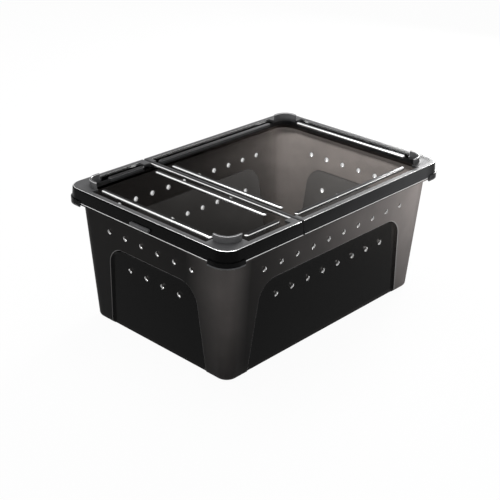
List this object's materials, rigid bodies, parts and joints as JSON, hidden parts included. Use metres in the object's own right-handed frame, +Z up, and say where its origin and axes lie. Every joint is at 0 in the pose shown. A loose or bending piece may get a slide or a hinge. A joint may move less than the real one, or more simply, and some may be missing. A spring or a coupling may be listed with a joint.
{
  "type": "reptile keeper box",
  "caption": "Stackable smoky clear plastic reptile or insect box with vented, tapered walls and a lid in two halves, one of which opens as a hatch",
  "frame": {"origin": "middle of the footprint on the surface it stands on", "axes": "X along the length with the hatch half of the lid at -X, Y across the width with the front at -Y, Z up"},
  "size_m": [0.3272, 0.224, 0.151],
  "materials": {
    "smoke_tub": "smoky grey-brown translucent moulded plastic, fine frosted bands and corners, polished sunken windows",
    "smoke_lid": "dark smoky translucent moulded plastic, polished panels and a finely frosted band"
  },
  "bodies": {
    "tub": {"tub": "smoke_tub"},
    "large_lid": {"large_lid": "smoke_lid"},
    "small_lid": {"small_lid": "smoke_lid"}
  },
  "joints": [
    {"name": "lid_lift", "type": "slide", "parent": "tub", "child": "large_lid", "axis": [0, 0, 1], "range_m": [0, 0.12]},
    {"name": "hatch_hinge", "type": "hinge", "parent": "large_lid", "child": "small_lid", "pos_m": [-0.06275, 0, 0.1415], "axis": [0, 1, 0], "range_deg": [0, 95]}
  ]
}
